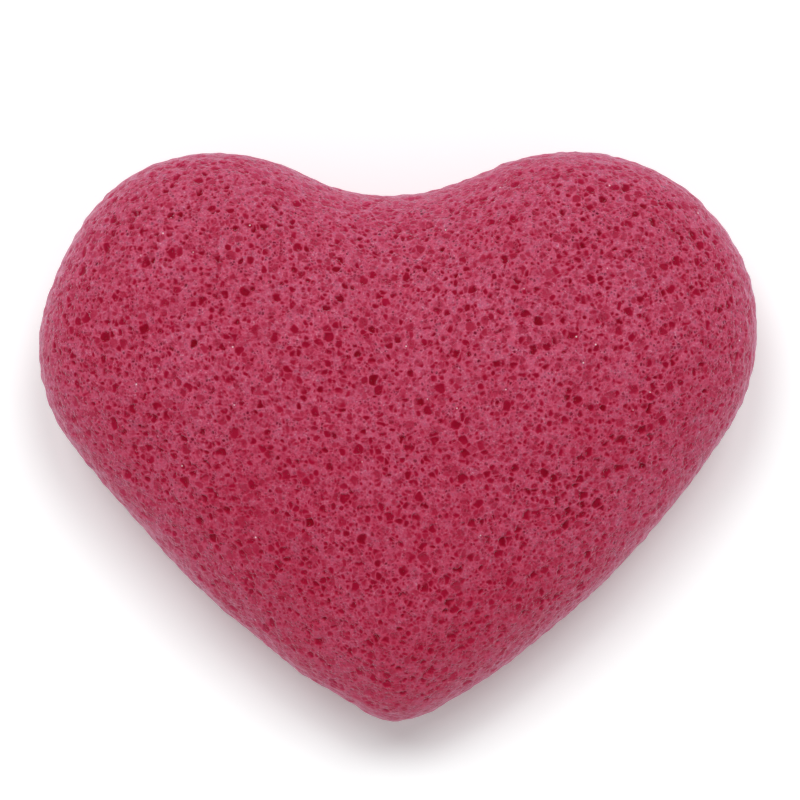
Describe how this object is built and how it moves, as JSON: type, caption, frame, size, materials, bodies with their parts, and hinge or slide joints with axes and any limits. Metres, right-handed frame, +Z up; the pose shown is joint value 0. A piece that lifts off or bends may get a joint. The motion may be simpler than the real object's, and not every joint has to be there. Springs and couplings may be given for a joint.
{
  "type": "konjac sponge",
  "caption": "Heart-shaped facial sponge of open-pored konjac foam with a crowned face, a rounded rim and a flat underside, for washing the face.",
  "frame": {"origin": "under the middle of the heart's outline, on the surface that the flat side rests on", "axes": "+X across the two lobes, +Y from the tip to the cleft, +Z up out of the crowned face"},
  "size_m": [0.08, 0.063, 0.028],
  "materials": {
    "konjac_foam": "matt open-pored foam, rose red, deeper red inside the pores"
  },
  "bodies": {
    "root": {"sponge_body": "konjac_foam"}
  },
  "joints": []
}
